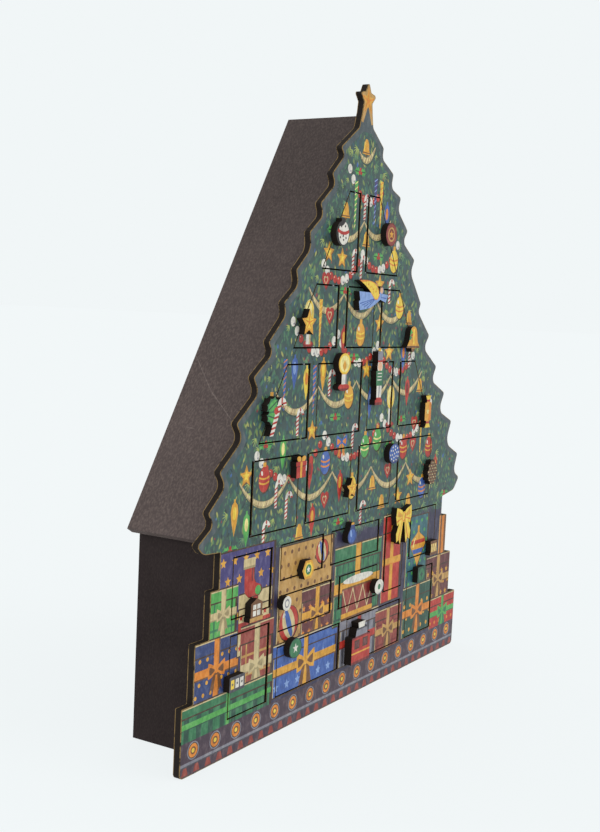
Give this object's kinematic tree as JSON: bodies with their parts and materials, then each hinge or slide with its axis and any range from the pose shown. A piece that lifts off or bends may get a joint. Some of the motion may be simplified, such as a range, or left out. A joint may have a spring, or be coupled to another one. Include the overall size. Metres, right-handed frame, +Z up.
{
  "type": "wooden advent calendar",
  "caption": "Tree-shaped advent calendar: painted front sheet with pinned doors and cut-out knobs, on a dark house-shaped box with a compartment behind each door.",
  "frame": {"origin": "on the standing surface, under the middle of the calendar's width and depth", "axes": "+X right seen from the front, +Y towards the back, +Z up"},
  "size_m": [0.394, 0.075, 0.45],
  "materials": {
    "front_paint": "painted, satin",
    "charcoal_board": "matt dark paint",
    "back_sheet": "matt dark paint",
    "inner_board": "bare fibreboard",
    "pin_steel": "bright wire",
    "knob_red": "painted, satin",
    "knob_gold": "painted, satin",
    "knob_white": "painted, satin",
    "knob_cream": "painted, satin",
    "knob_green": "painted, satin",
    "knob_blue": "painted, satin",
    "knob_brown": "painted, satin"
  },
  "bodies": {
    "case": {"front_panel": "front_paint", "left_roof": "charcoal_board", "right_roof": "charcoal_board", "left_wall": "charcoal_board", "right_wall": "charcoal_board", "base_board": "charcoal_board", "back_panel": "back_sheet", "tree_shelves": "inner_board", "lower_shelves": "inner_board", "tree_dividers": "inner_board", "lower_dividers": "inner_board", "hinge_pins": "pin_steel"},
    "door_01": {"door_01": "front_paint", "knob_01_snowball": "knob_white"},
    "door_02": {"door_02": "front_paint", "knob_02_red_bauble": "knob_red"},
    "door_03": {"door_03": "front_paint", "knob_03_gold_star": "knob_gold"},
    "door_04": {"door_04": "front_paint", "knob_04_angel": "knob_blue"},
    "door_05": {"door_05": "front_paint", "knob_05_bell": "knob_gold"},
    "door_06": {"door_06": "front_paint", "knob_06_holly": "knob_green"},
    "door_07": {"door_07": "front_paint", "knob_07_candle": "knob_cream"},
    "door_08": {"door_08": "front_paint", "knob_08_soldier": "knob_red"},
    "door_09": {"door_09": "front_paint", "knob_09_cracker": "knob_gold"},
    "door_10": {"door_10": "front_paint", "knob_10_parcel": "knob_red"},
    "door_11": {"door_11": "front_paint", "knob_11_small_star": "knob_gold"},
    "door_12": {"door_12": "front_paint", "knob_12_blue_bauble": "knob_blue"},
    "door_13": {"door_13": "front_paint", "knob_13_pine_cone": "knob_brown"},
    "door_14": {"door_14": "front_paint", "knob_14_window": "knob_brown"},
    "door_15": {"door_15": "front_paint", "knob_15_block": "knob_white"},
    "door_16": {"door_16": "front_paint", "knob_16_lantern": "knob_gold"},
    "door_17": {"door_17": "front_paint", "knob_17_pompom": "knob_white"},
    "door_18": {"door_18": "front_paint", "knob_18_green_bauble": "knob_green"},
    "door_19": {"door_19": "front_paint", "knob_19_drop": "knob_blue"},
    "door_20": {"door_20": "front_paint", "knob_20_white_ball": "knob_white"},
    "door_21": {"door_21": "front_paint", "knob_21_bow": "knob_gold"},
    "door_22": {"door_22": "front_paint", "knob_22_engine_cab": "knob_red"},
    "door_23": {"door_23": "front_paint", "knob_23_drum": "knob_brown"},
    "door_24": {"door_24": "front_paint", "knob_24_button": "knob_green"}
  },
  "joints": [
    {"name": "door_01_hinge", "type": "hinge", "parent": "case", "child": "door_01", "pos_m": [-0.01142, -0.0287, 0.3447], "axis": [0, 0, 1], "range_deg": [0, 90]},
    {"name": "door_02_hinge", "type": "hinge", "parent": "case", "child": "door_02", "pos_m": [0.00945, -0.0287, 0.3447], "axis": [0, 0, -1], "range_deg": [0, 90]},
    {"name": "door_03_hinge", "type": "hinge", "parent": "case", "child": "door_03", "pos_m": [-0.03605, -0.0287, 0.28418], "axis": [0, 0, 1], "range_deg": [0, 90]},
    {"name": "door_04_hinge", "type": "hinge", "parent": "case", "child": "door_04", "pos_m": [-0.01517, -0.0287, 0.28418], "axis": [0, 0, -1], "range_deg": [0, 90]},
    {"name": "door_05_hinge", "type": "hinge", "parent": "case", "child": "door_05", "pos_m": [0.03742, -0.0287, 0.28418], "axis": [0, 0, -1], "range_deg": [0, 90]},
    {"name": "door_06_hinge", "type": "hinge", "parent": "case", "child": "door_06", "pos_m": [-0.07072, -0.0287, 0.22612], "axis": [0, 0, 1], "range_deg": [0, 90]},
    {"name": "door_07_hinge", "type": "hinge", "parent": "case", "child": "door_07", "pos_m": [0.00296, -0.0287, 0.22612], "axis": [0, 0, 1], "range_deg": [0, 90]},
    {"name": "door_08_hinge", "type": "hinge", "parent": "case", "child": "door_08", "pos_m": [0.053, -0.0287, 0.22612], "axis": [0, 0, 1], "range_deg": [0, 90]},
    {"name": "door_09_hinge", "type": "hinge", "parent": "case", "child": "door_09", "pos_m": [0.07387, -0.0287, 0.22612], "axis": [0, 0, -1], "range_deg": [0, 90]},
    {"name": "door_10_hinge", "type": "hinge", "parent": "case", "child": "door_10", "pos_m": [-0.12699, -0.0287, 0.16537], "axis": [0, 0, -1], "range_deg": [0, 90]},
    {"name": "door_11_hinge", "type": "hinge", "parent": "case", "child": "door_11", "pos_m": [-0.0591, -0.0287, 0.16537], "axis": [0, 0, -1], "range_deg": [0, 90]},
    {"name": "door_12_hinge", "type": "hinge", "parent": "case", "child": "door_12", "pos_m": [0.01339, -0.0287, 0.16537], "axis": [0, 0, -1], "range_deg": [0, 90]},
    {"name": "door_13_hinge", "type": "hinge", "parent": "case", "child": "door_13", "pos_m": [0.07742, -0.0287, 0.16537], "axis": [0, 0, -1], "range_deg": [0, 90]},
    {"name": "door_14_hinge", "type": "hinge", "parent": "case", "child": "door_14", "pos_m": [-0.10823, -0.0287, 0.10998], "axis": [0, 0, 1], "range_deg": [0, 90]},
    {"name": "door_15_hinge", "type": "hinge", "parent": "case", "child": "door_15", "pos_m": [-0.10823, -0.0287, 0.05201], "axis": [0, 0, 1], "range_deg": [0, 90]},
    {"name": "door_16_hinge", "type": "hinge", "parent": "case", "child": "door_16", "pos_m": [-0.04136, -0.0287, 0.11779], "axis": [0, 0, 1], "range_deg": [0, 90]},
    {"name": "door_17_hinge", "type": "hinge", "parent": "case", "child": "door_17", "pos_m": [-0.02738, -0.0287, 0.08255], "axis": [0, 0, 1], "range_deg": [0, 90]},
    {"name": "door_18_hinge", "type": "hinge", "parent": "case", "child": "door_18", "pos_m": [-0.01241, -0.0287, 0.04224], "axis": [0, 0, 1], "range_deg": [0, 90]},
    {"name": "door_19_hinge", "type": "hinge", "parent": "case", "child": "door_19", "pos_m": [0.04256, -0.0287, 0.11779], "axis": [0, 0, 1], "range_deg": [0, 90]},
    {"name": "door_20_hinge", "type": "hinge", "parent": "case", "child": "door_20", "pos_m": [-0.00651, -0.0287, 0.08255], "axis": [0, 0, -1], "range_deg": [0, 90]},
    {"name": "door_21_hinge", "type": "hinge", "parent": "case", "child": "door_21", "pos_m": [0.06343, -0.0287, 0.10021], "axis": [0, 0, -1], "range_deg": [0, 70]},
    {"name": "door_22_hinge", "type": "hinge", "parent": "case", "child": "door_22", "pos_m": [0.08511, -0.0287, 0.04224], "axis": [0, 0, 1], "range_deg": [0, 90]},
    {"name": "door_23_hinge", "type": "hinge", "parent": "case", "child": "door_23", "pos_m": [0.10598, -0.0287, 0.11023], "axis": [0, 0, -1], "range_deg": [0, 90]},
    {"name": "door_24_hinge", "type": "hinge", "parent": "case", "child": "door_24", "pos_m": [0.14356, -0.0287, 0.05225], "axis": [0, 0, 1], "range_deg": [0, 90]}
  ]
}
